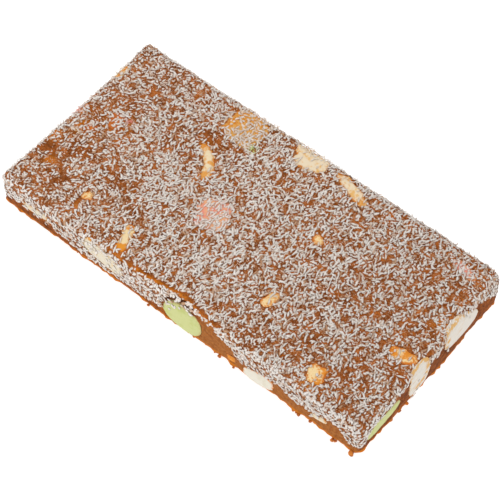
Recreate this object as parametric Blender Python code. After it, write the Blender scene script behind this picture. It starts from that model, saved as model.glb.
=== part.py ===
"""A slice of lolly cake: a flat malt biscuit slab with chopped foam sweets set in it, rolled in coconut.

Frame: X along the slice, Y across it, +Z up. The slice lies on its base, at z = 0, and the middle of
its own box stands over the origin. All sizes are in metres.
"""

import math
import random
from typing import NamedTuple

import bmesh
import bpy
from mathutils import Matrix, Vector, noise
from mathutils.bvhtree import BVHTree

MM = 0.001

# The slab
LENGTH = 121 * MM
WIDTH = 61 * MM
THICKNESS = 12.6 * MM
CORNER_ROUND = 2 * MM
TOP_ROUND = 1.9 * MM
BASE_ROUND = 0.8 * MM
GRID_STEP = 9 * MM
LEVEL_SLACK = 0.01 * MM

# How the slab's outline departs from a plain box
LEFT_HOLLOW = 0.9 * MM
RIGHT_NEAR_CUT = 0.6 * MM
RIGHT_FAR_BULGE = 2.3 * MM
END_FALL_OFF = 8
CREST_AT = Vector((6 * MM, -WIDTH / 2, THICKNESS))
CREST_REACH = 7 * MM
CREST_SHIFT = Vector((0, 1.2 * MM, 0.5 * MM))
SURFACE_WAVE = 0.35 * MM
SURFACE_WAVE_LENGTH = 11 * MM
WAVE_SEEDS = (0, 50, 90)

# The sweets
GAP = 0.3 * MM
PROUD = 0.12 * MM
BASE_CLEAR = 0.25 * MM
FINE_CUTS = 3
SMALL_CUTS = 2
SMALL_SWEET = 12 * MM
CUT_ROUGHNESS = 0.05
CUT_WAVES = 2

# The coconut
FLAKE_COUNT = 190
FLAKE_LENGTHS = (3.2 * MM, 2.2 * MM)
FLAKE_WIDTH = 0.75 * MM
FLAKE_HEIGHT = 0.6 * MM
FLAKE_NARROWING = 0.35
FLAKE_THINNING = 0.3
FLAKE_BOW = 0.12
FLAKE_SUNK = 0.22 * MM
FLAKE_SPACING = 4.0 * MM
FLAKE_TRIES = 30000
STEEPEST_FLAKE = -0.1
BARE_BASE = 2.6 * MM
BARE_FRONT_START = -4 * MM
BARE_FRONT_TOP = 7 * MM
BARE_END_TOP = 8.5 * MM
SEED = 7

ROUGHNESS = 0.75
COLOURS = {
    "dough": (0.30, 0.125, 0.045, 1),
    "green": (0.65, 0.70, 0.30, 1),
    "white": (0.82, 0.78, 0.68, 1),
    "cream": (0.84, 0.74, 0.55, 1),
    "amber": (0.80, 0.47, 0.16, 1),
    "orange": (0.74, 0.30, 0.06, 1),
    "pink": (0.78, 0.32, 0.27, 1),
    "yellow": (0.84, 0.62, 0.25, 1),
}


class Sweet(NamedTuple):
    """A chopped sweet. at is its middle on the face, size its length and width there, all in mm."""

    name: str
    colour: str
    face: str
    at: tuple
    size: tuple
    depth: float
    turn: float = 0
    power: float = 3.2
    taper: float = 0
    bend: float = 0
    slack: float = 0


SWEETS = [
    Sweet("sweet_amber_back", "amber", "top", (-19.2, 25.3), (12.6, 13.5), 8, -6, 4),
    Sweet("sweet_crescent", "cream", "top", (-21, 9), (12.6, 2.8), 3.5, -50, 3, bend=-64),
    Sweet("sweet_cream_back", "cream", "top", (0.6, 28.6), (10.4, 9.6), 8, 12, 3),
    Sweet("sweet_cream_streak_back", "cream", "top", (14.9, 27.1), (12.4, 3.2), 5, -20, 3),
    Sweet("sweet_pink_middle", "pink", "top", (-9.1, -3.8), (9.2, 10.4), 7, 22, 3),
    Sweet("sweet_yellow_front", "yellow", "top", (-20.9, -23.9), (7.6, 3.2), 2.2, 104, 3),
    Sweet("sweet_orange_west", "orange", "top", (-48.2, 3.2), (5, 6.4), 5, 15, 2.6),
    Sweet("sweet_orange_west_low", "orange", "top", (-52.4, -2.9), (3.4, 4.6), 4, -15, 2.6),
    Sweet("sweet_orange_crumb", "orange", "top", (-38, -20.7), (3.4, 3), 3, 20, 2.6),
    Sweet("sweet_orange_ring", "orange", "top", (17.6, 7.8), (3.8, 3), 3, -20, 2.6),
    Sweet("sweet_pink_right", "pink", "top", (52.6, 25.6), (6.8, 3.2), 4, -12, 3),
    Sweet("sweet_orange_middle", "orange", "top", (19, -14.5), (6, 3.4), 4, 78, 3),
    Sweet("sweet_orange_low", "orange", "top", (40.8, -24.3), (5.2, 5.8), 4.5, 10, 3),
    Sweet("sweet_orange_right", "orange", "top", (53.8, -6), (6, 5.2), 4, -15, 2.6),
    Sweet("sweet_cream_west", "cream", "front", (-48.3, 6.2), (9.2, 2.8), 3, 6, 3),
    Sweet("sweet_cream_front", "cream", "front", (-24.3, 7.4), (14.2, 7), 3.4, -13, 3.2),
    Sweet("sweet_green_front", "green", "front", (2.8, 6), (12.2, 10.8), 8, -8, 2.6, slack=0.3),
    Sweet("sweet_chip_front", "orange", "front", (19.1, 3.1), (2.9, 2.4), 3, 20, 3.5),
    Sweet("sweet_white_front", "white", "front", (28, 2.9), (9.8, 5.6), 5, 16, 2.6),
    Sweet("sweet_cream_east", "cream", "front", (46.9, 4.7), (5, 2.2), 3, 10, 2.6),
    Sweet("sweet_green_end", "green", "right", (-20.4, 7), (15, 8.2), 5, 11, 3.4, taper=0.55),
    Sweet("sweet_white_end", "white", "right", (-6, 7.6), (8.4, 13.6), 2.2, 0, 3),
    Sweet("sweet_white_end_long", "white", "right", (13.6, 7), (18.2, 11), 2.8, -34, 3),
    Sweet("sweet_yellow_left", "yellow", "left", (17.5, 9.8), (6.4, 9), 2.4, 0, 3),
    Sweet("sweet_pink_left", "pink", "left", (0.6, 9.8), (4.4, 8.6), 2, 6, 3),
    Sweet("sweet_pink_back", "pink", "back", (38, 6.2), (11, 7.4), 6, 14, 3.2),
    Sweet("sweet_green_back", "green", "back", (-45, 5.8), (9.6, 7.8), 6, -10, 2.8),
]


def make_material(name, colour):
    material = bpy.data.materials.new(name)
    material.use_nodes = True
    shader = material.node_tree.nodes["Principled BSDF"]
    shader.inputs["Base Color"].default_value = colour
    shader.inputs["Roughness"].default_value = ROUGHNESS
    shader.inputs["Metallic"].default_value = 0
    return material


def make_object(name, bm, collection, material=None):
    mesh = bpy.data.meshes.new(name)
    bm.to_mesh(mesh)
    bm.free()
    if material:
        mesh.materials.append(material)
    obj = bpy.data.objects.new(name, mesh)
    collection.objects.link(obj)
    return obj


def hide_helper(obj):
    obj.hide_render = True
    obj.display_type = "WIRE"


def wave(point, size, seed):
    """A smooth random value from -1 to 1 that changes over a distance of size."""
    return noise.noise(point / size + Vector((seed, 0, 0)))


def steps_between(low, high, step):
    """The places that cut the stretch from low to high into equal pieces of about step."""
    count = round((high - low) / step)
    return [low + (high - low) * i / count for i in range(1, count)]


def outline_shift(point):
    """How far a point of the plain slab moves, for the slice's own uneven outline."""
    along, across = 2 * point.x / LENGTH, 2 * point.y / WIDTH
    height = point.z / THICKNESS
    shift = Vector((0, 0, 0))
    shift.x += LEFT_HOLLOW * max(0, -along) ** END_FALL_OFF * (1 - across**2)
    far = (1 + across) / 2
    right_end = RIGHT_FAR_BULGE * far * (1 - height**2) - RIGHT_NEAR_CUT * (1 - far) ** 2
    shift.x += right_end * max(0, along) ** END_FALL_OFF
    crest = math.exp(-(((point - CREST_AT).length / CREST_REACH) ** 2))
    shift += crest * height * CREST_SHIFT
    waves = Vector(wave(point, SURFACE_WAVE_LENGTH, seed) for seed in WAVE_SEEDS)
    waves.z *= height
    return shift + SURFACE_WAVE * waves


def slab_mesh():
    """The slice before anything is set in it: a rounded box, cut into a grid and made uneven."""
    bm = bmesh.new()
    bmesh.ops.create_cube(bm, size=1)
    bmesh.ops.scale(bm, vec=(LENGTH, WIDTH, THICKNESS), verts=bm.verts)
    bmesh.ops.translate(bm, vec=(0, 0, THICKNESS / 2), verts=bm.verts)
    upright = [e for e in bm.edges if abs(e.verts[0].co.z - e.verts[1].co.z) > THICKNESS / 2]
    bmesh.ops.bevel(bm, geom=upright, offset=CORNER_ROUND, segments=3, profile=0.5, affect="EDGES")
    for height, radius, segments in ((THICKNESS, TOP_ROUND, 3), (0, BASE_ROUND, 1)):
        rim = [e for e in bm.edges if all(abs(v.co.z - height) < LEVEL_SLACK for v in e.verts)]
        bmesh.ops.bevel(bm, geom=rim, offset=radius, segments=segments, profile=0.5, affect="EDGES")
    x_way, y_way, z_way = Matrix.Identity(3)
    cuts = [(x_way, x) for x in steps_between(-LENGTH / 2, LENGTH / 2, GRID_STEP)]
    cuts += [(y_way, y) for y in steps_between(-WIDTH / 2, WIDTH / 2, GRID_STEP)]
    cuts += [(z_way, THICKNESS / 2)]
    for way, place in cuts:
        parts = bm.verts[:] + bm.edges[:] + bm.faces[:]
        bmesh.ops.bisect_plane(bm, geom=parts, plane_co=way * place, plane_no=way)
    bmesh.ops.triangulate(bm, faces=bm.faces)
    for vertex in bm.verts:
        vertex.co += outline_shift(vertex.co)
    bm.normal_update()
    return bm


def skin_mesh():
    """The slab swollen a little and lifted off the floor: what shows of a sweet ends on it."""
    bm = slab_mesh()
    moves = [(vertex, vertex.normal * PROUD) for vertex in bm.verts]
    for vertex, move in moves:
        vertex.co += move
        vertex.co.z = max(vertex.co.z, BASE_CLEAR)
    return bm


def face_frame(sweet):
    """The matrix of a sweet's face: its first two axes lie in the face and the third points out."""
    a, b = (c * MM for c in sweet.at)
    places = {
        "top": (Vector((a, b, THICKNESS)), Vector((1, 0, 0)), Vector((0, 1, 0))),
        "front": (Vector((a, -WIDTH / 2, b)), Vector((1, 0, 0)), Vector((0, 0, 1))),
        "back": (Vector((a, WIDTH / 2, b)), Vector((-1, 0, 0)), Vector((0, 0, 1))),
        "right": (Vector((LENGTH / 2 + PROUD, a, b)), Vector((0, 1, 0)), Vector((0, 0, 1))),
        "left": (Vector((-LENGTH / 2 + LEFT_HOLLOW, a, b)), Vector((0, -1, 0)), Vector((0, 0, 1))),
    }
    place, first, second = places[sweet.face]
    axes = Matrix((first, second, first.cross(second))).transposed().to_4x4()
    return Matrix.Translation(place) @ axes @ Matrix.Rotation(math.radians(sweet.turn), 4, "Z")


def block_mesh(sweet, extra):
    """A sweet as a rounded block, extra larger all round. It reaches out past its face, for trimming."""
    half = Vector((*sweet.size, 2 * sweet.depth)) * MM / 2
    cuts = SMALL_CUTS if max(half.x, half.y) * 2 < SMALL_SWEET else FINE_CUTS
    bm = bmesh.new()
    bmesh.ops.create_cube(bm, size=2)
    bmesh.ops.subdivide_edges(bm, edges=bm.edges, cuts=cuts, use_grid_fill=True)
    curl = math.radians(sweet.bend) / (2 * half.x)
    for vertex in bm.verts:
        way = vertex.co.normalized()
        reach = sum(abs(c) ** sweet.power for c in way) ** (-1 / sweet.power)
        reach *= 1 + CUT_ROUGHNESS * wave(way, 1 / CUT_WAVES, len(sweet.name) + sweet.at[0])
        point = Vector(w * reach * (h + extra) for w, h in zip(way, half))
        point.y *= 1 - sweet.taper * (point.x / half.x + 1) / 2
        if curl:
            angle, radius = point.x * curl, 1 / curl - point.y
            point.x, point.y = math.sin(angle) * radius, 1 / curl - math.cos(angle) * radius
        vertex.co = point
    bm.transform(face_frame(sweet))
    bm.normal_update()
    return bm


def boolean(obj, operation, other=None, collection=None):
    modifier = obj.modifiers.new(operation.lower(), "BOOLEAN")
    modifier.operation = operation
    modifier.solver = "EXACT"
    if collection:
        modifier.operand_type = "COLLECTION"
        modifier.collection = collection
    else:
        modifier.object = other


def apply_modifiers(obj):
    graph = bpy.context.evaluated_depsgraph_get()
    baked = bpy.data.meshes.new_from_object(obj.evaluated_get(graph))
    plain = obj.data
    obj.modifiers.clear()
    obj.data = baked
    bpy.data.meshes.remove(plain)


def clear_collection(collection):
    for obj in list(collection.objects):
        bpy.data.objects.remove(obj)
    bpy.data.collections.remove(collection)


def keep_largest_shell(obj):
    """Drops loose scraps and fills sealed hollows: of the mesh's shells only the largest stays."""
    bm = bmesh.new()
    bm.from_mesh(obj.data)
    shells, unseen = [], set(bm.verts)
    while unseen:
        shell, border = set(), {unseen.pop()}
        while border:
            vertex = border.pop()
            shell.add(vertex)
            border |= {e.other_vert(vertex) for e in vertex.link_edges} - shell
        unseen -= shell
        shells.append(shell)
    largest = max(shells, key=len)
    bmesh.ops.delete(bm, geom=[v for v in bm.verts if v not in largest], context="VERTS")
    bm.to_mesh(obj.data)
    bm.free()


def make_sweets(parts, skin, materials):
    """One object for each sweet: its rounded block, trimmed to the slice's surface."""
    made = []
    for sweet in SWEETS:
        obj = make_object(sweet.name, block_mesh(sweet, 0), parts, materials[sweet.colour])
        boolean(obj, "INTERSECT", other=skin)
        apply_modifiers(obj)
        keep_largest_shell(obj)
        made.append(obj)
    return made


def cut_pockets(body):
    """Cuts the pockets that the sweets lie in, a small gap larger than they are."""
    cutters = bpy.data.collections.new("pocket_cutters")
    bpy.context.scene.collection.children.link(cutters)
    for sweet in SWEETS:
        hide_helper(make_object(sweet.name + "_pocket", block_mesh(sweet, GAP + sweet.slack * MM), cutters))
    boolean(body, "DIFFERENCE", collection=cutters)
    apply_modifiers(body)
    clear_collection(cutters)
    keep_largest_shell(body)


def is_bare(point):
    """True where no coconut lies: along the base, low on the right half of the front, and low on the
    right end.
    """
    if point.z < BARE_BASE:
        return True
    on_front = point.y < -WIDTH / 2 + TOP_ROUND
    on_end = point.x > LENGTH / 2 - TOP_ROUND
    if on_front and point.x > BARE_FRONT_START and point.z < BARE_FRONT_TOP:
        return True
    return on_end and point.z < BARE_END_TOP


def flake_mesh(length, place, normal, spin):
    """A coconut flake: a short bowed strip, narrower at its ends and partly pressed into the surface."""
    bm = bmesh.new()
    bmesh.ops.create_cube(bm, size=1)
    long_edges = [e for e in bm.edges if abs(e.verts[0].co.x - e.verts[1].co.x) > 0.5]
    bmesh.ops.subdivide_edges(bm, edges=long_edges, cuts=1, use_grid_fill=False)
    for vertex in bm.verts:
        end = abs(2 * vertex.co.x)
        vertex.co.x *= length
        vertex.co.y *= FLAKE_WIDTH * (1 - FLAKE_NARROWING * end)
        vertex.co.y += FLAKE_BOW * length * end
        vertex.co.z = (vertex.co.z + 0.5) * FLAKE_HEIGHT * (1 - FLAKE_THINNING * end) - FLAKE_SUNK
    turned = normal.to_track_quat("Z", "X").to_matrix().to_4x4() @ Matrix.Rotation(spin, 4, "Z")
    bm.transform(Matrix.Translation(place) @ turned)
    bm.normal_update()
    return bm


def flake_places(slab, sweets):
    """Places and outward directions for the flakes, spread over the coated surface, clear of the sweets."""
    draw = random.Random(SEED)
    surface = BVHTree.FromBMesh(slab)
    half = Vector((LENGTH / 2, WIDTH / 2, THICKNESS / 2))
    trees = []
    for sweet in sweets:
        bm = bmesh.new()
        bm.from_mesh(sweet.data)
        trees.append(BVHTree.FromBMesh(bm))
        bm.free()
    places = []
    for _ in range(FLAKE_TRIES):
        if len(places) == FLAKE_COUNT:
            break
        start = Vector(draw.uniform(-1, 1) * (h + TOP_ROUND) for h in half) + Vector((0, 0, half.z))
        place, normal, _, distance = surface.find_nearest(start)
        if distance > TOP_ROUND or normal.z < STEEPEST_FLAKE or is_bare(place):
            continue
        clear = max(FLAKE_LENGTHS) / 2 + GAP
        if any(tree.find_nearest(place, clear)[0] for tree in trees):
            continue
        if all((place - other).length > FLAKE_SPACING for other, _ in places):
            places.append((place, normal))
    return places


def fuse_flakes(body, sweets):
    """Joins the largest coconut flakes to the slab with one Boolean union."""
    draw = random.Random(SEED)
    flakes = bpy.data.collections.new("flakes")
    bpy.context.scene.collection.children.link(flakes)
    slab = slab_mesh()
    places = flake_places(slab, sweets)
    slab.free()
    longest, shortest = FLAKE_LENGTHS
    for i, (place, normal) in enumerate(places):
        length = longest + (shortest - longest) * i / len(places)
        bm = flake_mesh(length, place, normal, draw.uniform(0, math.tau))
        hide_helper(make_object(f"flake_{i}", bm, flakes))
    boolean(body, "UNION", collection=flakes)
    apply_modifiers(body)
    clear_collection(flakes)
    keep_largest_shell(body)


def centre_parts(parts):
    """Parents the parts to an empty that brings the middle of their box over the origin."""
    points = [v.co for obj in parts.objects for v in obj.data.vertices]
    middle = [(min(p[i] for p in points) + max(p[i] for p in points)) / 2 for i in (0, 1)]
    centre = bpy.data.objects.new("slice_centre", None)
    centre.location = (-middle[0], -middle[1], 0)
    for obj in list(parts.objects):
        obj.parent = centre
    bpy.context.scene.collection.objects.link(centre)


def main():
    for obj in list(bpy.data.objects):
        bpy.data.objects.remove(obj)
    parts = bpy.data.collections.new("lolly_cake")
    bpy.context.scene.collection.children.link(parts)
    materials = {name: make_material(name, colour) for name, colour in COLOURS.items()}
    helpers = bpy.data.collections.new("helpers")
    bpy.context.scene.collection.children.link(helpers)
    skin = make_object("skin", skin_mesh(), helpers)
    hide_helper(skin)
    body = make_object("cake_body", slab_mesh(), parts, materials["dough"])
    sweets = make_sweets(parts, skin, materials)
    clear_collection(helpers)
    cut_pockets(body)
    fuse_flakes(body, sweets)
    centre_parts(parts)


main()
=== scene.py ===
"""The looks of a slice of lolly cake: malt biscuit dough, chopped foam sweets and a coat of coconut.

Frame: X along the slice, Y across it, +Z up, in metres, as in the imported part. The slab's own places are
given from its middle, which lies SLAB_MIDDLE from the origin. Tables of places are in mm, and a pair of
tuples such as ((5, 45), (1, 0.9)) goes to np.interp: the value is 1 up to 5 mm and 0.9 from 45 mm on.
"""

import math
from typing import NamedTuple

import bpy
import numpy as np
from mathutils import Matrix, Vector, noise
from mathutils.bvhtree import BVHTree


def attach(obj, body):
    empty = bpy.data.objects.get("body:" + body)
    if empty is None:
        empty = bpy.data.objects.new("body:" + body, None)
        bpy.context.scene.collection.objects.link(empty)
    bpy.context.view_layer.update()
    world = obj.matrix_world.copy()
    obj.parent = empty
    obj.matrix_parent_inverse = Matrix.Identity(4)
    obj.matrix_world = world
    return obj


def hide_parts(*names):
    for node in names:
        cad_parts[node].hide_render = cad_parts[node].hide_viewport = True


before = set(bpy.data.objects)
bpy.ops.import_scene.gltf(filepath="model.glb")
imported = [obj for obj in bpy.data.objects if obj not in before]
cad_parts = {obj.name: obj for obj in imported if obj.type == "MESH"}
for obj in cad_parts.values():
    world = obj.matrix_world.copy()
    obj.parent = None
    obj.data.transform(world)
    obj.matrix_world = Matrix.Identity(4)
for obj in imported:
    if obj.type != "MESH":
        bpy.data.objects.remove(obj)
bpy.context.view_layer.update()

MM = 0.001
TINY = 1e-9
SEED = 11

# The slab, as in the part
LENGTH = 121 * MM
WIDTH = 61 * MM
THICKNESS = 12.6 * MM
SLAB_MIDDLE = np.array((-0.99, -0.17, 0)) * MM
CORNER_ROUND = 2 * MM
TOP_ROUND = 1.9 * MM
BASE_ROUND = 0.8 * MM
LEFT_HOLLOW = 0.9 * MM
RIGHT_NEAR_CUT = 0.6 * MM
RIGHT_FAR_BULGE = 2.3 * MM
BACK_FULLER = 0.5 * MM
END_FALL_OFF = 8
CREST_AT = np.array((6 * MM, -WIDTH / 2, THICKNESS))
CREST_REACH = 7 * MM
CREST_SHIFT = np.array((0, 1.2 * MM, 0.5 * MM))
SURFACE_WAVE = 0.35 * MM
SURFACE_WAVE_LENGTH = 11 * MM
WAVE_SEEDS = (0, 50, 90)

# Its sides by number. A rounded edge counts as top a little further down than half its turn.
TOP, FRONT, RIGHT, BACK, LEFT, BASE = range(6)
TOP_FAVOUR = 1.02

# The dough's finer surface
DOUGH_STEP = 0.6 * MM
LUMP = 0.16 * MM
LUMP_LENGTH = 1.3 * MM
LUMP_SEED = 20
GROOVE_DEPTH = {"top": 0.1 * MM, "side": 0.3 * MM}
GROOVE_REACH = 0.55 * MM
POCKET_DEPTH = 0.9 * MM
POCKET_SLOPE = 0.5 * MM
STEADY_BELOW = 1.5 * MM
COAT_CEILING = 13.75 * MM

# The base's dough lies this much higher than the flakes under it
BASE_RECESS = 0.16 * MM
BASE_RECESS_POWER = 4

# The rough rim round the base, and how orange it is on each side and by height. That orange is painted bounce
# light from the floor.
RIM_HEIGHT = 1.1 * MM
RIM_LUMP = 0.8 * MM
RIM_LUMP_LENGTH = 1.5 * MM
RIM_LUMP_SEED = 70
RIM_BOUNCE_LIGHT = (0, 0.75, 1, 0.15, 0.15, 0)
RIM_BOUNCE_LIGHT_HEIGHT = ((1, 1.8), (1, 0))

# The sliced face below the front side's coat starts here along the slice. The right end gets a little painted
# shade.
SLICED_FROM = ((5, 9), (0, 1))
END_PAINTED_SHADE = 0.12

# The bare line along the top's front edge: how clear it is, its middle in y and its reach, all by x
EDGE_LINE_CLEAR = ((-36, -24, -12, 12, 17), (0, 0.3, 1, 1, 0))
EDGE_LINE_MIDDLE = ((-17, -9, -2.5, 1.6, 6.3, 15), (-29.6, -29.3, -28.6, -28, -28.7, -29.8))
EDGE_LINE_REACH = ((-14, -8, 1, 5), (0.32, 0.48, 0.4, 0.28))
EDGE_LINE_FROM = 10 * MM
EDGE_LINE_RISE = 0.3 * MM
EDGE_LINE_BARE = 1.4
EDGE_LINE_ORANGE = 0.55
ORANGE_ASIDE = 0.4

# The crevice over the large green sweet, sunk and darkened with painted shade: how clear it is and its middle
# in z, by x, and its reach
CREVICE_CLEAR = ((-4.6, -3.4, 2.5, 5.5), (0, 1, 1, 0))
CREVICE_MIDDLE = ((-4, -2, 0, 4), (8.4, 10.4, 11.2, 11.5))
CREVICE_REACH = 0.75
CREVICE_BEFORE = -29
CREVICE_DEPTH = 1.4 * MM
CREVICE_PAINTED_SHADE = 0.9

# Where the dough is smeared with orange sweet: place on the top, reach in mm, and how much
SMEARS = [
    ((-48, 3), 4, 0.5), ((-54, -4), 2.5, 0.6), ((-59.3, 0), 2, 0.7), ((-59, -11), 2.5, 0.5),
    ((-53.5, -18.5), 1.8, 0.5), ((-19, 3.6), 1.5, 0.7), ((-24.6, 12.4), 1.5, 0.5), ((17, 7.8), 2.5, 0.4),
    ((41, -28), 2, 0.5), ((57, -6.5), 1.5, 0.6), ((-4.4, 0.7), 1.2, 0.5), ((-6.6, -9.4), 1.2, 0.3),
    ((-37.7, -25), 1.4, 0.4), ((-21, -28), 2, 0.6), ((58, 8), 3, 0.5), ((-20, 32), 5, 0.5),
]

# The sweets' finer surface. The dough's border over a sweet in the top is ragged.
SWEET_STEP = 0.5 * MM
LEAST_CUTS = 8
CUT_ROUGHNESS = 0.05
CUT_WAVES = 2
PROUD = 0.12 * MM
BASE_CLEAR = 0.25 * MM
RAGGED = {"top": 0.14, "side": 0.015}
RAGGED_LENGTH = 1.7 * MM
RAGGED_SEED = 60
BORDER_DIP = {"top": 0.4 * MM, "side": 0.22 * MM}
BORDER_REACH = 0.5 * MM
BORDER_STAIN_REACH = {"top": 0.7 * MM, "side": 0.3 * MM}
SWEET_DENT = 0.06 * MM
SWEET_DENT_LENGTH = 1.6 * MM


class Sweet(NamedTuple):
    """A chopped sweet. at is its middle on the face, size its length and width there, all in mm."""

    name: str
    colour: str
    face: str
    at: tuple
    size: tuple
    depth: float
    turn: float = 0
    power: float = 3.2
    taper: float = 0
    bend: float = 0

    @property
    def node(self):
        return "sweet_" + self.name


SWEETS = [
    Sweet("amber_back", "amber", "top", (-19.2, 25.3), (12.6, 13.5), 8, -6, 4),
    Sweet("crescent", "crescent", "top", (-20.2, 9.2), (12.8, 3.3), 3.5, -50, 3, bend=-90),
    Sweet("cream_back", "cream", "top", (0.6, 28.6), (10.4, 9.6), 8, 12, 3),
    Sweet("cream_streak_back", "cream", "top", (14.9, 27.1), (12.8, 3.9), 5, -20, 3),
    Sweet("pink_middle", "pink", "top", (-8.6, -3.8), (10, 10.4), 7, 22, 3),
    Sweet("yellow_front", "yellow", "top", (-21.7, -24.3), (9, 3.5), 2.2, 106, 3),
    Sweet("orange_west", "rust", "top", (-48.2, 3.2), (5, 6.4), 5, 15, 2.6),
    Sweet("orange_west_low", "rust", "top", (-52.4, -2.9), (3.4, 4.6), 4, -15, 2.6),
    Sweet("orange_crumb", "orange", "top", (-38, -20.7), (3.4, 3), 3, 20, 2.6),
    Sweet("orange_ring", "orange", "top", (17.6, 7.8), (3.8, 3), 3, -20, 2.6),
    Sweet("pink_right", "pink", "top", (52.9, 25.5), (8, 3.4), 4, -12, 3),
    Sweet("orange_middle", "orange", "top", (19, -14.5), (6, 3.4), 4, 78, 3),
    Sweet("orange_low", "orange", "top", (40.8, -24.3), (5.2, 5.8), 4.5, 10, 3),
    Sweet("orange_right", "orange", "top", (54.8, -6), (7.8, 4.4), 4, 8, 2.6),
    Sweet("cream_west", "ivory", "front", (-48.3, 6.2), (9.2, 2.8), 3, 6, 3),
    Sweet("cream_front", "ivory", "front", (-24.3, 7.4), (14.2, 7), 3.4, -13, 3.2),
    Sweet("green_front", "green", "front", (2.7, 5.2), (12.3, 9.6), 8, -8, 2.6),
    Sweet("chip_front", "chip", "front", (19.1, 3.1), (2.9, 2.4), 3, 20, 3.5),
    Sweet("white_front", "white", "front", (28, 2.9), (9.8, 5.6), 5, 16, 2.6),
    Sweet("cream_east", "ivory", "front", (46.9, 4.7), (5, 2.2), 3, 10, 2.6),
    Sweet("green_end", "green", "right", (-20.8, 6.3), (13.3, 6.4), 5, 4, 3.4, taper=0.5),
    Sweet("white_end", "streaked", "right", (-6, 7.6), (8.4, 13.6), 2.2, 0, 3),
    Sweet("white_end_long", "streaked", "right", (12.8, 8.4), (15.8, 9.8), 2.8, -14, 2.8, taper=0.42),
    Sweet("yellow_left", "yellow", "left", (17.5, 9.8), (6.4, 9), 2.4, 0, 3),
    Sweet("pink_left", "pink", "left", (0.6, 9.8), (4.4, 8.6), 2, 6, 3),
    Sweet("pink_back", "pink", "back", (38, 6.2), (11, 7.4), 6, 14, 3.2),
    Sweet("green_back", "green", "back", (-45, 5.8), (9.6, 7.8), 6, -10, 2.8),
]
NO_SWEET = -1


class Foam(NamedTuple):
    """A sweet's foam, with colours as on a screen: base, patches of a second one, and stain at the border.

    speck is how much the patches take and patch their size in mm. cover is how much coconut lies on it, and
    tinge how far that coconut takes the colour of its dust. stretch and turn are the patches' grain.
    """

    base: tuple
    second: tuple
    stain: tuple
    speck: float
    patch: float
    cover: float
    tinge: float
    dust: tuple
    stretch: tuple = (1, 1, 1)
    turn: tuple = (0, 0, 0)


FOAMS = {
    "amber": Foam((222, 164, 86), (208, 126, 28), (196, 112, 34), 0.5, 0.8, 0.6, 0.5, (230, 172, 92)),
    "crescent": Foam((233, 214, 178), (226, 160, 78), (220, 142, 52), 0.42, 1.3, 0.02, 0.6, (240, 220, 180)),
    "cream": Foam((232, 214, 184), (228, 178, 104), (218, 136, 44), 0.46, 1.4, 0.1, 0.5, (242, 222, 186)),
    "ivory": Foam((227, 217, 196), (228, 200, 150), (222, 152, 68), 0.4, 1.4, 0.14, 0.4, (240, 230, 212)),
    "yellow": Foam((238, 214, 166), (226, 146, 40), (218, 126, 26), 0.45, 1.4, 0.16, 0.5, (240, 210, 150)),
    "orange": Foam((240, 212, 158), (224, 140, 40), (214, 118, 22), 0.58, 0.6, 0.15, 0.7, (238, 186, 112)),
    "rust": Foam((186, 98, 34), (210, 120, 44), (168, 86, 26), 0.5, 1.4, 0.6, 0.3, (224, 160, 112)),
    "pink": Foam((234, 174, 132), (236, 148, 128), (220, 142, 84), 0.42, 0.7, 0.82, 0.4, (250, 184, 166)),
    "green": Foam((204, 208, 142), (194, 200, 124), (198, 186, 122), 0.5, 2.5, 0, 0.4, (238, 222, 208)),
    "white": Foam((229, 223, 208), (222, 214, 194), (222, 134, 44), 0.4, 2, 0, 0.3, (240, 234, 220)),
    "chip": Foam((220, 134, 34), (234, 158, 56), (190, 112, 52), 0.5, 0.8, 0, 0.5, (230, 160, 80)),
    "streaked": Foam(
        (226, 219, 208), (222, 172, 104), (222, 176, 112), 0.2, 0.5, 0.02, 0.3, (232, 226, 216),
        stretch=(1, 8, 1), turn=(0.3, 0, 0),
    ),
}

# Where a sweet shows its second colour, or where less than zero its first one: place, reach in mm, how much
COLOUR_PATCHES = {
    "amber_back": [
        ((-24.5, 21), 2, 0.05), ((-24, 26), 2.5, 0.12), ((-18, 20), 3, -0.25), ((-13, 25), 2.2, 0.1),
    ],
    "pink_middle": [
        ((-6, 0.2), 2, 0.14), ((-8.6, -2), 2, 0.14), ((-11.2, -5), 1.8, 0.16), ((-11, -8.4), 1.6, 0.2),
        ((-5, -6), 3, -0.2), ((-12, -0.5), 1.8, -0.1),
    ],
    "cream_streak_back": [((19.4, 25.6), 1.5, 0.22), ((16, 26), 1, 0.16), ((12.6, 29), 1, 0.14)],
    "pink_right": [((50.5, 25.6), 1.5, 0.3), ((54, 25.4), 1.5, 0.2)],
    "yellow_front": [((-20.5, -28), 1.6, 0.5), ((-24, -22), 1, 0.15), ((-22, -24.5), 1.6, -0.2)],
    "orange_right": [((52, -6.8), 1.2, 0.4), ((53.4, -5.4), 1, -0.4), ((55.4, -5), 1.4, 0.3)],
    "orange_low": [((39.4, -25), 1.2, -0.15), ((42.8, -22.4), 1.2, 0.3), ((43, -26.8), 1.2, 0.3)],
    "crescent": [((-19, 4.6), 1.3, 0.3), ((-19.2, 9.2), 0.6, 0.4)],
    "white_end": [
        ((-2.6, 13), 1.3, 0.6), ((-3.1, 10.2), 0.8, 0.6), ((-3.8, 7.6), 0.7, 0.6), ((-4.6, 5.4), 0.7, 0.6),
        ((-6.6, 4.6), 0.9, 0.6), ((-2.2, 6), 0.8, 0.4),
    ],
    "white_end_long": [((6.4, 9.8), 0.6, 0.45), ((5.8, 7.8), 0.6, 0.4)],
}
FACE_AXES = {"top": (0, 1), "front": (0, 2), "back": (0, 2), "right": (1, 2), "left": (1, 2)}

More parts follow.
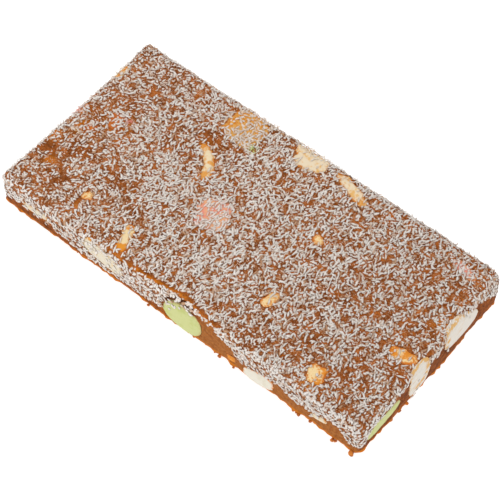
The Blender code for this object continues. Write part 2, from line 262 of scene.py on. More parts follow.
# The top's coat: its mean thickness, its waves with their length and seed, and its patches, thinner or
# thicker than elsewhere: place, reach in mm, and how much
COAT_MEAN = 0.62
COAT_WAVES = ((0.36, 4.5 * MM, 40), (0.2, 1.9 * MM, 45))
COAT_LEAST = 0.12
THINNER_TO_THE_RIGHT = ((10, 45), (0, 0.08))
PATCH_STRENGTH = 0.8
COAT_PATCHES = [
    ((-48, 8), 4, -0.5), ((-52, -10), 5, -0.45), ((-56, -17), 4, -0.5), ((-47, -21), 4, -0.3),
    ((-50, -28), 5, -0.3), ((-54, 0), 4, -0.35), ((-27, 12), 4.5, -0.5), ((-38, -12), 4.5, -0.4),
    ((-30, -15), 4, -0.3), ((-47, 18), 4, -0.2), ((-42, 27), 4, -0.15), ((-23, 16), 3, -0.4),
    ((34, -4), 4, -0.3), ((50, -13), 4, -0.2), ((33, -19), 4, -0.3), ((22, -27), 4, -0.3),
    ((48, -25), 5, -0.2), ((57, -18), 4, -0.15), ((48, 14), 5, -0.12), ((55, 3), 3, -0.3),
    ((3, 8), 4, -0.15), ((5, -6), 3, -0.15), ((0, 18), 4, -0.15),
    ((-40, 5), 4, 0.4), ((-26, -1), 4.5, 0.5), ((-18, -2), 3.5, 0.4), ((-16, -15), 4, 0.4),
    ((-36, 15), 3, 0.2), ((-38, -4), 3.5, 0.3), ((4, -19), 5, 0.3), ((10, -4), 3.5, 0.3),
    ((34, 28), 3.5, 0.3), ((-53, 27), 4, 0.2), ((35, -11), 3, 0.2), ((47, -3), 3, 0.2),
    ((-8, 21), 4, 0.2), ((-23, -8), 4, 0.2),
]

# The same on the sweets of a face, and where that face starts: axis, direction along it, and place
SWEET_PATCHES = {
    "top": [
        ((-18, 20), 3.5, 0.5), ((-24, 22), 2, -0.1), ((-24, 26), 2.5, -0.05), ((-13, 25), 2.5, 0.1),
        ((-5, -5), 3, 0.4), ((-8, -8), 3, 0.2), ((-12, -1), 2, 0.2), ((-9, -2.5), 1.8, 0.1),
        ((-22.5, -21), 1.4, 0.35), ((54, -8), 1.5, 0.6), ((51, 28), 2, 0.4),
    ],
    "front": [
        ((-1.2, 8.8), 1.9, 0.5), ((2, 9.6), 1.2, 0.3), ((6, 9.6), 1, 0.4), ((-29, 8), 2, 0.2),
        ((-20, 5), 2, 0.3), ((-23, 10.5), 2, 0.3),
    ],
    "right": [((9, 12.6), 1, 0.3), ((16, 12.4), 1.2, 0.5), ((-9.5, 12), 1.2, 0.3)],
}
FACE_STARTS = {"top": (2, 1, 11 * MM), "front": (1, -1, 26 * MM), "right": (0, 1, 57 * MM)}

# The lower border of the front side's coat, x and z in mm, and of the right end's, y and z
FRONT_COAT_BORDER = [
    (-61, 5.2), (-57.4, 4.4), (-54.3, 5.6), (-50.7, 4.4), (-42, 4.8), (-34.5, 2.6), (-25.7, 1.9),
    (-11.7, 3), (-4.8, 3.2), (8.3, 11.6), (10.7, 9.9), (13, 10.9), (19, 7.4), (22.8, 4.4),
    (26.9, 6), (34, 6.9), (41.4, 4.8), (46.5, 6.4), (53.2, 7.4), (55.6, 3.6), (61, 2.6),
]
END_COAT_BORDER = [
    (-30, 3), (-27, 9.5), (-12, 10.6), (-8, 11), (2, 9.4), (5, 11), (20, 10.4), (25, 7.4), (31, 4.8),
]

# That border on the sides that the photo doesn't show, and the finer waves of every border
HIDDEN_BORDER = 2.4
HIDDEN_BORDER_WAVE = 2
HIDDEN_BORDER_LENGTH = 7 * MM
HIDDEN_BORDER_SEED = 35
BORDER_WAVE = 0.7 * MM
BORDER_WAVE_LENGTH = 2.5 * MM
BORDER_SEED = 30
BORDER_BLEND = 0.8
NO_BORDER = -1

# How far the dough under the coat is lightened: partly fine coconut dust, partly painted light that softens
# the shade between the flakes
DUST_AND_FILL_LIGHT_ON_TOP = 0.65
DUST_AND_FILL_LIGHT_ON_SIDES = 0.7


class Flake(NamedTuple):
    """A kind of coconut flake. Ranges and the gap between two are in mm; white is how few are stained.

    bend and tilt are spreads of angles, and share is the chance of one at a place under the thickest coat.
    """

    length: tuple
    width: tuple
    lift: tuple
    gap: float
    bend: float
    tilt: float
    white: float
    share: float = 1


SUNK = Flake((0.5, 1.3), (0.4, 0.6), (-0.05, 0.05), 0.4, 1.4, 0.1, 0.9, 0.5)
SHORT = Flake((0.6, 1.7), (0.5, 0.76), (0.04, 0.28), 0.45, 1.7, 0.12, 3.5, 0.5)
LONG = Flake((1.4, 2.4), (0.42, 0.6), (0.2, 0.36), 0.75, 0.8, 0.06, 6, 0.14)
HAIR = Flake((1.2, 2.2), (0.22, 0.34), (0.1, 0.4), 0.7, 0.9, 0.5, 6, 0.4)
WIDE = Flake((0.7, 1.6), (0.6, 1.0), (0.02, 0.26), 0.45, 1.0, 0.1, 4.5)
FLAT = Flake((1.0, 2.2), (0.42, 0.7), (0, 0), 0.85, 1.4, 0, 2, 0.9)

# A flake is a strip with a three-sided section. Its half width and height there, its arch as a mean and a
# spread, and its ends' narrowing are shares of its own width, height and length.
FLAKE_SIDES = 3
FLAKE_CORNERS = 3
FLAKE_HEIGHT = (0.16, 0.26)
FLAKE_HALF = (0.58, 0.6)
FLAKE_ARCH = (0.03, 0.04)
END_NARROWING = 0.6
NARROWING_POWER = 3
LEAST_BEND = 0.05
COARSE_CUTS, FINE_CUTS = 2, 3
QUARTER_TURN = 0.25
NEARLY_UP = 0.9

# How many places are tried, and how thick each kind lies
TOP_SAMPLES, SIDE_SAMPLES, BASE_SAMPLES = 110000, 80000, 30000
SUNK_POWER = 0.5
COAT_POWER = 1.5
LONG_IN_THE_MIDDLE = ((-40, -15, 30, 50), (0.1, 1, 1, 0.4))
HAIR_AT_THE_BACK = ((28, 29.5), (0, 1))
HAIR_AT_THE_LEFT = ((-60, -58.5), (0.6, 0))
HAIR_ON_SIDES = ((9.5 * MM, 11 * MM), (0, 1))
WIDE_DENSITY = ((0, 8), (0.62, 0.75))
SIDE_COAT_START = 0.3
COAT_PIECE = 9500

# How far flakes turn from along the slab, as a spread of angles; ANY_WAY is so wide that they lie any way
ANY_WAY = 20
SHORT_SCATTER = ((-30, -10), (ANY_WAY, 0.9))
LONG_SCATTER = 0.6
WIDE_SCATTER = 1.5

# The flakes pressed flat under the base
BASE_MARGIN = 2 * MM
BASE_FLAKE_HEIGHT = 0.13 * MM

# The coconut's colours as on a screen, and the small spots where it has a sweet's colour: place, reach
WHITE_COCONUT = (250, 244, 239)
STAINED_COCONUT = (202, 150, 106)
STAIN_ON_SWEETS = 0.3
DULLER_TO_THE_RIGHT = ((5, 45), (1, 0.92))
COLOURED_SPOTS = [
    ((-13.4, 19.9), 1, (200, 220, 110)), ((-45.3, 5.2), 0.9, (240, 140, 128)),
    ((-54.4, -7.2), 1, (226, 160, 52)), ((-59.2, -0.6), 1, (236, 150, 130)),
    ((-1.5, 30), 1, (238, 200, 140)),
]

# How much of its cell in the bake map a flake fills, and how far from the cell's border it starts
BAKE_FILL = 0.9
BAKE_MARGIN = 0.5

# The small crumbs along the base's rim
CRUMB_SAMPLES = 200000
CRUMB_BELOW = 0.6 * MM
CRUMB_UPRIGHT = 0.9
CRUMB_CHANCE = 0.02
CRUMB_GAP = 0.6 * MM
CRUMB_SUNK = 0.15 * MM
CRUMB_HALF = (0.25, 0.5)
BIG_CRUMB_SHARE = 0.06
BIG_CRUMB_TIMES = 1.8

# Every crumb's shape: its cuts, its bumps, its flatness and how high its middle lies, against its half width
CRUMB_CUTS = 3
CRUMB_BUMP = 0.45
CRUMB_BUMP_LENGTH = 0.9
CRUMB_FLATNESS = (1, 1, 0.8)
CRUMB_RISE = 0.75
CRUMB_CLEAR = 0.02 * MM

# The large crumbs that stick to the base's rim: x, y and width in mm
LARGE_CRUMBS = [
    (52.3, -31.3, 1.2), (53.2, -31, 0.9), (58, -31.3, 1.6), (45, -30.9, 0.9), (41.5, -30.8, 1),
    (60.6, -17, 1.1), (61.2, -10.5, 1), (60.8, -13.5, 1.2), (15.5, -30.8, 1), (20.3, -30.9, 0.8),
    (-8.5, -30.8, 0.8), (61.6, 3.5, 0.7),
]
CRUMB_HOLD = 0.3
CRUMB_RIM = (0.3 * MM, 1.2 * MM)

# The view
AZIMUTH = 32.23
ELEVATION = 57.67
ROLL = 6.67
DISTANCE = 379.3 * MM
AIM = Vector((1.56, 0.48, 0)) * MM
LENS = 100.03
SENSOR = 36
CLIP = (0.01, 10)

# The set. A light has a place and size in metres and a power in watts.
LIGHTS = {"key": ((-0.35, -0.75, 0.55), 0.5, 1.2), "overhead": ((0.05, 0, 0.95), 0.7, 2.8)}
WORLD_STRENGTH = 0.7
FLOOR_HALF = 3
FLOOR_GREY = (0.5, 0.5, 0.5, 1)
FLOOR_GLOW = 0.75
WHITE = (1, 1, 1, 1)


# ---- Shapes


def mesh_object(name, points, faces, material, values=None):
    """A smooth-shaded mesh object. points are in the slab's own place; values are named numbers per point."""
    mesh = bpy.data.meshes.new(name)
    mesh.from_pydata((points + SLAB_MIDDLE).tolist(), [], faces.tolist())
    mesh.materials.append(material)
    for key, numbers in (values or {}).items():
        kind = "FLOAT" if numbers.ndim == 1 else "FLOAT_COLOR"
        layer = mesh.attributes.new(key, kind, "POINT")
        layer.data.foreach_set("value" if numbers.ndim == 1 else "color", numbers.astype(np.float32).ravel())
    mesh.shade_smooth()
    obj = bpy.data.objects.new(name, mesh)
    bpy.context.scene.collection.objects.link(obj)
    return obj


def box_grid(counts):
    """A unit box's surface as a grid: points from 0 to 1 and four-cornered faces that look out."""
    quads = []
    for axis in range(3):
        first, second = (axis + 1) % 3, (axis + 2) % 3
        i, j = np.meshgrid(np.arange(counts[first]), np.arange(counts[second]), indexing="ij")
        corners = [(i, j), (i + 1, j), (i + 1, j + 1), (i, j + 1)]
        for side in (0, counts[axis]):
            ring = []
            for u, v in corners if side else corners[::-1]:
                corner = np.zeros(i.shape + (3,), int)
                corner[..., axis], corner[..., first], corner[..., second] = side, u, v
                ring.append(corner)
            quads.append(np.stack(ring, 2).reshape(-1, 4, 3))
    keys = np.concatenate(quads) @ np.array((1, 10**4, 10**8))
    found, faces = np.unique(keys.ravel(), return_inverse=True)
    points = np.stack([found % 10**4, found // 10**4 % 10**4, found // 10**8], 1)
    return points / np.array(counts), faces.reshape(-1, 4)


def ball_grid(cuts):
    """A ball of radius 1 with the faces of a cube cut so many times each way."""
    unit, faces = box_grid([cuts] * 3)
    way = unit * 2 - 1
    way /= np.linalg.norm(way, axis=1)[:, None]
    return way, faces


def noise_at(points, size, seed):
    """Smooth random values from -1 to 1 that change over a distance of size."""
    offset = Vector((seed, 0, 0))
    return np.array([noise.noise(Vector(p) + offset) for p in (points / size).tolist()])


def face_spans(points, faces):
    """Each face's corners, and a vector out of it whose length is twice its area."""
    corners = points[faces]
    return corners, np.cross(corners[:, 2] - corners[:, 0], corners[:, 3] - corners[:, 1])


def point_normals(points, faces):
    """The outward direction at each point. Areas are in square metres, so the least is TINY squared."""
    _, across = face_spans(points, faces)
    normals = np.zeros_like(points)
    for k in range(faces.shape[1]):
        np.add.at(normals, faces[:, k], across)
    return normals / np.maximum(np.linalg.norm(normals, axis=1), TINY**2)[:, None]


def patched(places, first, second, patches):
    """How much the patches add or take at each place, by its coordinates on two axes."""
    change = np.zeros(len(places))
    for (a, b), reach, much in patches:
        apart = (places[:, first] / MM - a) ** 2 + (places[:, second] / MM - b) ** 2
        change += much * np.exp(-apart / reach**2)
    return change


def round_edges(points):
    """Rounds the upright corners and then the rims of a plain slab's surface points."""
    half = np.array((LENGTH, WIDTH)) / 2
    inner = points[:, :2].clip(CORNER_ROUND - half, half - CORNER_ROUND)
    out = points[:, :2] - inner
    reach = np.abs(out).max(1)
    way = out / np.maximum(np.linalg.norm(out, axis=1), TINY)[:, None]
    points[:, :2] = inner + way * reach[:, None]
    for height, radius, sign in ((THICKNESS, TOP_ROUND, 1), (0, BASE_ROUND, -1)):
        u = (radius - CORNER_ROUND + reach).clip(0)
        v = (radius - np.abs(points[:, 2] - height)).clip(0)
        ratio = 1 - np.maximum(u, v) / np.maximum(np.hypot(u, v), TINY)
        ratio[(u == 0) | (v == 0)] = 0
        points[:, :2] -= way * (u * ratio)[:, None]
        points[:, 2] -= sign * v * ratio
    return points


def outline_shift(points):
    """How far points of the plain slab move, for the slice's own uneven outline."""
    along, across = 2 * points[:, 0] / LENGTH, 2 * points[:, 1] / WIDTH
    height = points[:, 2] / THICKNESS
    shift = np.zeros_like(points)
    shift[:, 0] += LEFT_HOLLOW * (-along).clip(0) ** END_FALL_OFF * (1 - across**2)
    far = (1 + across) / 2
    right_end = RIGHT_FAR_BULGE * far * (1 - height**2) - RIGHT_NEAR_CUT * (1 - far) ** 2
    shift[:, 0] += right_end * along.clip(0) ** END_FALL_OFF
    shift[:, 1] += BACK_FULLER * across.clip(0) ** END_FALL_OFF
    crest = np.exp(-((np.linalg.norm(points - CREST_AT, axis=1) / CREST_REACH) ** 2))
    shift += (crest * height)[:, None] * CREST_SHIFT
    waves = np.stack([noise_at(points, SURFACE_WAVE_LENGTH, seed) for seed in WAVE_SEEDS], 1)
    waves[:, 2] *= height
    return shift + SURFACE_WAVE * waves


def slab_surface():
    """The slab's surface before anything is set in it, as points and faces."""
    size = np.array((LENGTH, WIDTH, THICKNESS))
    unit, faces = box_grid([round(s / DOUGH_STEP) for s in size])
    points = round_edges((unit - (0.5, 0.5, 0)) * size)
    return points + outline_shift(points), faces


def side_of(points, normals):
    """Which side each point is on, by number."""
    x, y, z = normals.T
    return np.stack([z * TOP_FAVOUR, -y, x, y, -x, -z], 1).argmax(1)


# ---- Materials


def srgb(red, green, blue):
    """A colour given as it looks on a screen, from 0 to 255, in Blender's linear numbers."""
    screen = np.array((red, green, blue)) / 255
    linear = np.where(screen < 0.04045, screen / 12.92, ((screen + 0.055) / 1.055) ** 2.4)
    return (*linear.tolist(), 1)


class Shader:
    """Builds one material's nodes on its Principled BSDF."""

    def __init__(self, name, **sockets):
        self.material = bpy.data.materials.new(name)
        self.material.use_nodes = True
        self.nodes = self.material.node_tree.nodes
        self.links = self.material.node_tree.links
        self.bsdf = self.nodes["Principled BSDF"]
        self.coordinates = self.nodes.new("ShaderNodeTexCoord").outputs["Object"]
        self.set(self.bsdf, **sockets)

    def feed(self, socket, value):
        """Links a node's output to a socket, or sets a constant there."""
        if isinstance(value, bpy.types.NodeSocket):
            self.links.new(value, socket)
        else:
            socket.default_value = value

    def set(self, node, **sockets):
        for name, value in sockets.items():
            self.feed(node.inputs[name.replace("_", " ")], value)

    def noise(self, size, detail, stretch=(1, 1, 1), turn=(0, 0, 0)):
        """Noise whose lumps are about size mm across, or more along an axis that stretch makes longer."""
        mapping = self.nodes.new("ShaderNodeMapping")
        mapping.vector_type = "TEXTURE"
        self.set(mapping, Vector=self.coordinates, Scale=stretch, Rotation=turn)
        node = self.nodes.new("ShaderNodeTexNoise")
        self.set(node, Vector=mapping.outputs[0], Scale=1 / (size * MM), Detail=detail, Roughness=0.55)
        return node.outputs["Fac"]

    def attribute(self, name, output="Fac"):
        node = self.nodes.new("ShaderNodeAttribute")
        node.attribute_name = name
        return node.outputs[output]

    def between(self, value, low, high):
        """value brought from the range low to high to the range 0 to 1, with soft ends."""
        node = self.nodes.new("ShaderNodeMapRange")
        node.interpolation_type = "SMOOTHSTEP"
        self.set(node, Value=value, From_Min=low, From_Max=high)
        return node.outputs["Result"]

    def patches(self, size, detail, low, high):
        """Patches of noise about size mm across, with soft borders from the value low to high."""
        return self.between(self.noise(size, detail), low, high)

    def calculate(self, operation, first, second):
        node = self.nodes.new("ShaderNodeMath")
        node.operation = operation
        self.feed(node.inputs[0], first)
        self.feed(node.inputs[1], second)
        return node.outputs[0]

    def mix(self, factor, first, second, blend="MIX"):
        node = self.nodes.new("ShaderNodeMix")
        node.data_type = "RGBA"
        node.blend_type = blend
        for number, value in ((0, factor), (6, first), (7, second)):
            self.feed(node.inputs[number], value)
        return node.outputs[2]

    def bump(self, height, distance):
        node = self.nodes.new("ShaderNodeBump")
        self.set(node, Height=height, Distance=distance * MM)
        self.set(self.bsdf, Normal=node.outputs[0])


def dough_material():
    """Mottled malt dough, lightened by coconut dust and painted light, with a sliced face, an orange rim of
    painted bounce light, and painted shade in the crevice and on the right end.
    """
    s = Shader("malt_dough", Roughness=0.75, Specular_IOR_Level=0.08)
    deep, plain, warm, pitted = srgb(118, 58, 14), srgb(160, 86, 32), srgb(178, 96, 32), srgb(96, 46, 12)
    even, pale, grain = srgb(144, 82, 36), srgb(174, 110, 54), srgb(190, 106, 34)
    coconut, orange, painted_shadow = srgb(206, 166, 130), srgb(232, 134, 20), srgb(64, 30, 12)
    colour = s.mix(s.patches(2.2, 4, 0.35, 0.65), deep, plain)
    colour = s.mix(s.patches(3.5, 3, 0.5, 0.72), colour, warm)
    colour = s.mix(s.patches(0.5, 2, 0.5, 0.7), colour, pitted)
    # Partly coconut dust, partly painted light that softens the shade between the flakes.
    dusted_and_lit = s.calculate("MULTIPLY", s.attribute("dust"), s.patches(0.4, 2, 0.48, 0.62))
    colour = s.mix(dusted_and_lit, colour, coconut)
    sliced = s.mix(s.patches(0.9, 4, 0.3, 0.7), even, pale)
    sliced = s.mix(s.patches(0.6, 2, 0.6, 0.75), sliced, grain)
    colour = s.mix(s.attribute("cut"), colour, sliced)
    # The orange at the base rim is painted bounce light; the same orange also marks the edge line and the
    # smears.
    ragged_rim = s.calculate("MULTIPLY", s.attribute("rim"), s.patches(0.7, 3, 0.25, 0.55))
    colour = s.mix(ragged_rim, colour, orange)
    # Painted shade: the crevice and the right end are darkened towards a shadow brown.
    s.set(s.bsdf, Base_Color=s.mix(s.attribute("painted_shade"), colour, painted_shadow))
    s.bump(s.noise(0.45, 4), 0.15)
    return s.material


def foam_material(name, foam):
    """A sweet's foam: base colour with patches of the second one, and stain round its border."""
    s = Shader("foam_" + name, Roughness=0.7, Specular_IOR_Level=0.3)
    wander = s.noise(foam.patch, 4, foam.stretch, foam.turn)
    specks = s.calculate("ADD", wander, s.attribute("second"))
    low, high = 0.62 - 0.3 * foam.speck, 0.82 - 0.3 * foam.speck
    colour = s.mix(s.between(specks, low, high), srgb(*foam.base), srgb(*foam.second))
    ragged = s.calculate("MULTIPLY", s.attribute("stain"), s.patches(0.8, 3, 0.3, 0.6))
    s.set(s.bsdf, Base_Color=s.mix(s.between(ragged, 0.15, 0.75), colour, srgb(*foam.stain)))
    s.bump(s.noise(0.5, 3), 0.05)
    return s.material


def coconut_material():
    """Coconut in each flake's own tint, with a fine grain."""
    s = Shader("coconut", Roughness=0.55, Specular_IOR_Level=0.4)
    grain = s.mix(s.patches(0.35, 2, 0.3, 0.7), srgb(232, 228, 222), srgb(255, 255, 255))
    s.set(s.bsdf, Base_Color=s.mix(1.0, s.attribute("tint", "Color"), grain, "MULTIPLY"))
    return s.material


def crumb_material():
    """Crumbs of dough, in two browns."""
    s = Shader("crumb", Roughness=0.65)
    s.set(s.bsdf, Base_Color=s.mix(s.patches(0.8, 3, 0.35, 0.65), srgb(168, 88, 26), srgb(218, 128, 34)))
    s.bump(s.noise(0.3, 3), 0.08)
    return s.material


# ---- The sweets


def face_frame(sweet):
    """The matrix of a sweet's face: its first two axes lie in the face and the third points out."""
    a, b = (c * MM for c in sweet.at)
    places = {
        "top": (Vector((a, b, THICKNESS)), Vector((1, 0, 0)), Vector((0, 1, 0))),
        "front": (Vector((a, -WIDTH / 2, b)), Vector((1, 0, 0)), Vector((0, 0, 1))),
        "back": (Vector((a, WIDTH / 2, b)), Vector((-1, 0, 0)), Vector((0, 0, 1))),
        "right": (Vector((LENGTH / 2 + PROUD, a, b)), Vector((0, 1, 0)), Vector((0, 0, 1))),
        "left": (Vector((-LENGTH / 2 + LEFT_HOLLOW, a, b)), Vector((0, -1, 0)), Vector((0, 0, 1))),
    }
    place, first, second = places[sweet.face]
    axes = Matrix((first, second, first.cross(second))).transposed().to_4x4()
    return Matrix.Translation(place) @ axes @ Matrix.Rotation(math.radians(sweet.turn), 4, "Z")


def sweet_block(sweet):
    """A sweet as a rounded block that reaches past its face: points, faces and distance from its outline."""
    half = np.array((*sweet.size, 2 * sweet.depth)) * MM / 2
    way, faces = ball_grid(max(LEAST_CUTS, round(2 * max(half[:2]) / SWEET_STEP)))
    reach = (np.abs(way) ** sweet.power).sum(1) ** (-1 / sweet.power)
    reach *= 1 + CUT_ROUGHNESS * noise_at(way, 1 / CUT_WAVES, len(sweet.node) + sweet.at[0])
    points = way * reach[:, None] * half
    span = (np.abs(points[:, :2] / half[:2]) ** sweet.power).sum(1) ** (1 / sweet.power)
    within = (1 - span) * min(half[:2])
    points[:, 1] *= 1 - sweet.taper * (points[:, 0] / half[0] + 1) / 2
    if sweet.bend:
        curl = math.radians(sweet.bend) / (2 * half[0])
        angle, radius = points[:, 0] * curl, 1 / curl - points[:, 1]
        points[:, 0], points[:, 1] = np.sin(angle) * radius, 1 / curl - np.cos(angle) * radius
    matrix = np.array(face_frame(sweet))
    return points @ matrix[:3, :3].T + matrix[:3, 3], faces, within.clip(0)


def border_kind(sweet):
    """The key of a sweet's border in the tables above."""
    return "top" if sweet.face == "top" else "side"


def raggedness(sweet):
    """How far a sweet's border wanders, by its width."""
    return RAGGED[border_kind(sweet)] * min(sweet.size) * MM


def trim_to_surface(sweet, block, surface):
    """Brings what stands out of the slab back to its surface, with a soft border round what shows."""
    points, faces, within = block
    kind = border_kind(sweet)
    dents = SWEET_DENT * noise_at(points, SWEET_DENT_LENGTH, 0)
    trimmed, stain = points.copy(), np.ones(len(points))
    for i, point in enumerate(points):
        place, normal, _, _ = surface.find_nearest(Vector(point))
        if (Vector(point) - place).dot(normal) > 0:
            ragged = noise.noise(place / RAGGED_LENGTH + Vector((RAGGED_SEED, 0, 0)))
            inside = max(0, within[i] + raggedness(sweet) * ragged)
            lift = PROUD - BORDER_DIP[kind] * math.exp(-((inside / BORDER_REACH) ** 2)) + dents[i]
            trimmed[i] = place + normal * lift
            stain[i] = math.exp(-inside / BORDER_STAIN_REACH[kind])
    trimmed[:, 2] = trimmed[:, 2].clip(BASE_CLEAR)
    second = patched(trimmed, *FACE_AXES[sweet.face], COLOUR_PATCHES.get(sweet.name, ()))
    return trimmed, faces, {"stain": stain, "second": second}


def near_block(points, block, reach=0):
    """For each point by a sweet's block: its number, its distance, and how far out it is, under 0 inside."""
    block_points, block_faces, _ = block
    tree = BVHTree.FromPolygons(block_points.tolist(), block_faces.tolist())
    low, high = block_points.min(0) - reach, block_points.max(0) + reach
    for i in np.nonzero(((points > low) & (points < high)).all(1))[0]:
        place, normal, _, distance = tree.find_nearest(Vector(points[i]))
        yield i, distance, (Vector(points[i]) - place).dot(normal)


def sweets_under(places, blocks):
    """For each place the number of the sweet it lies on, or NO_SWEET."""
    on = np.full(len(places), NO_SWEET)
    for number, block in enumerate(blocks):
        for i, _, outward in near_block(places, block):
            if outward < 0:
                on[i] = number
    return on


# ---- Where the coat lies


def edge_line(places, aside=0):
    """1 on the bare line along the top's front edge, 0 away from it. aside moves it outwards, in mm."""
    x, y = places[:, 0] / MM, places[:, 1] / MM + aside
    off = (y - np.interp(x, *EDGE_LINE_MIDDLE)) / np.interp(x, *EDGE_LINE_REACH)
    return np.interp(x, *EDGE_LINE_CLEAR) * np.exp(-(off**2)) * (places[:, 2] > EDGE_LINE_FROM)


def crevice(places):
    """1 in the crevice over the green sweet, which is sunk and given painted shade, 0 away from it."""
    x, y, z = (places / MM).T
    off = (z - np.interp(x, *CREVICE_MIDDLE)) / CREVICE_REACH
    return np.interp(x, *CREVICE_CLEAR) * np.exp(-(off**2)) * (y < CREVICE_BEFORE)


def bare_lines(places):
    """How bare the dough is along the edge line and in the crevice, from 0 to 1."""
    return np.maximum((EDGE_LINE_BARE * edge_line(places)).clip(0, 1), crevice(places))


def coat_border(places, border):
    """The height of a coat's lower border at places along its side."""
    along, height = np.array(border).T
    return np.interp(places, along * MM, height * MM)


def coat_bottom(points, normals):
    """The height above which each point of a side is coated."""
    side = side_of(points, normals)
    wander = HIDDEN_BORDER_WAVE * noise_at(points, HIDDEN_BORDER_LENGTH, HIDDEN_BORDER_SEED)
    bottom = MM * (HIDDEN_BORDER + wander)
    front, right = side == FRONT, side == RIGHT
    bottom[front] = coat_border(points[front, 0], FRONT_COAT_BORDER)
    bottom[right] = coat_border(points[right, 1], END_COAT_BORDER)
    bottom += BORDER_WAVE * noise_at(points, BORDER_WAVE_LENGTH, BORDER_SEED)
    bottom[(side == TOP) | (side == BASE)] = NO_BORDER
    return bottom


def top_chance(places):
    """How thick the top's coat is at each place, about 0 to 1."""
    flat = places * (1, 1, 0)
    chance = COAT_MEAN
    for much, length, seed in COAT_WAVES:
        chance = chance + much * noise_at(flat, length, seed)
    thinner = np.interp(places[:, 0] / MM, *THINNER_TO_THE_RIGHT)
    chance = chance + PATCH_STRENGTH * patched(places, 0, 1, COAT_PATCHES) - thinner
    return chance.clip(COAT_LEAST, 1)


def covered(chance, places, below):
    """The chance changed where a place lies on a sweet, patches included."""
    extra = np.zeros(len(places))
    for face, patches in SWEET_PATCHES.items():
        axis, sign, start = FACE_STARTS[face]
        extra += patched(places, *FACE_AXES[face], patches) * (sign * places[:, axis] > start)
    for number, sweet in enumerate(SWEETS):
        here = below == number
        chance[here] = FOAMS[sweet.colour].cover + extra[here]
    return chance.clip(0, 1)


# ---- The dough


def dough_lift(points, blocks):
    """How far the dough rises or sinks: lumps, grooves round the sweets, pockets under them, and lines."""
    lift = LUMP * noise_at(points, LUMP_LENGTH, LUMP_SEED)
    ragged = noise_at(points, RAGGED_LENGTH, RAGGED_SEED)
    for sweet, block in zip(SWEETS, blocks):
        depth = GROOVE_DEPTH[border_kind(sweet)]
        for i, distance, outward in near_block(points, block, GROOVE_REACH):
            if outward > 0:
                lift[i] -= depth * max(0, 1 - distance / GROOVE_REACH)
            else:
                inside = distance + raggedness(sweet) * ragged[i]
                lift[i] -= POCKET_DEPTH * min(1, max(0, inside / POCKET_SLOPE))
    lift += EDGE_LINE_RISE * edge_line(points) - CREVICE_DEPTH * crevice(points)
    return lift * (points[:, 2] / STEADY_BELOW).clip(0, 1)


def base_rim(points, side):
    """1 at the foot of the sides, falling to 0 further up."""
    return np.exp(-((points[:, 2] / RIM_HEIGHT) ** 2)) * (side != BASE)


def dough_points(surface_points, normals, blocks):
    """The dough's points: lifted or sunk, between the flakes below and above, lumpy at the base's rim."""
    points = surface_points + normals * dough_lift(surface_points, blocks)[:, None]
    points[:, 2] = points[:, 2].clip(None, COAT_CEILING)
    points[:, 2] += BASE_RECESS * (-normals[:, 2]).clip(0, 1) ** BASE_RECESS_POWER
    rim = base_rim(points, side_of(surface_points, normals))
    lumps = rim * RIM_LUMP * noise_at(points, RIM_LUMP_LENGTH, RIM_LUMP_SEED)
    points[:, :2] += normals[:, :2] * lumps[:, None]
    return points


def dough_values(surface_points, points, normals):
    """What the dough's material reads at each point: sliced face, orange (painted bounce light at the base
    rim), painted shade, and dust that is partly painted light.
    """
    side, bottom = side_of(surface_points, normals), coat_bottom(surface_points, normals)
    x, height = surface_points[:, 0] / MM, points[:, 2]
    cut = ((bottom - height) / (BORDER_BLEND * MM) + 0.5).clip(0, 1) * (side == FRONT)
    # The orange at the foot of the sides is painted bounce light; the edge line and the smears add more
    # orange.
    orange = np.interp(height / MM, *RIM_BOUNCE_LIGHT_HEIGHT) * np.array(RIM_BOUNCE_LIGHT)[side]
    orange += EDGE_LINE_ORANGE * edge_line(surface_points, ORANGE_ASIDE)
    orange += patched(surface_points, 0, 1, SMEARS) * (side == TOP)
    # Painted shade on the right end, above its rim.
    end_painted_shade = END_PAINTED_SHADE * (side == RIGHT) * (1 - base_rim(points, side))
    coated = ((surface_points[:, 2] - bottom) / (BORDER_BLEND * MM)).clip(0, 1)
    # This dust is partly coconut dust and partly painted light that softens the shade between the flakes.
    dust = np.where(side == TOP, DUST_AND_FILL_LIGHT_ON_TOP * top_chance(surface_points), DUST_AND_FILL_LIGHT_ON_SIDES * coated)
    return {
        "cut": cut * np.interp(x, *SLICED_FROM),
        "rim": orange.clip(0, 1),
        "painted_shade": np.maximum(CREVICE_PAINTED_SHADE * crevice(surface_points), end_painted_shade),
        "dust": dust * (1 - bare_lines(surface_points)),
    }


def make_dough(surface_points, faces, blocks):
    """The slab's dough, and its points."""
    normals = point_normals(surface_points, faces)
    points = dough_points(surface_points, normals, blocks)
    values = dough_values(surface_points, points, normals)
    return mesh_object("dough", points, faces, dough_material(), values), points


# ---- The coconut


class Laid(NamedTuple):
    """Flakes at their places, one row each."""

    places: np.ndarray
    axes: np.ndarray
    sizes: np.ndarray
    bend: np.ndarray
    arch: np.ndarray
    tints: np.ndarray


def joined(kinds):
    """Several kinds of laid flakes as one."""
    return Laid(*(np.concatenate(rows) for rows in zip(*kinds)))


def surface_samples(points, faces, count, draw):
    """count random places on the surface, each with its outward direction."""
    corners, across = face_spans(points, faces)
    area = np.linalg.norm(across, axis=1)
    picked = draw.choice(len(faces), count, p=area / area.sum())
    u, v = draw.random((2, count, 1))
    quad = corners[picked]
    places = (quad[:, 0] * (1 - u) + quad[:, 1] * u) * (1 - v) + (quad[:, 3] * (1 - u) + quad[:, 2] * u) * v
    return places, across[picked] / area[picked][:, None]


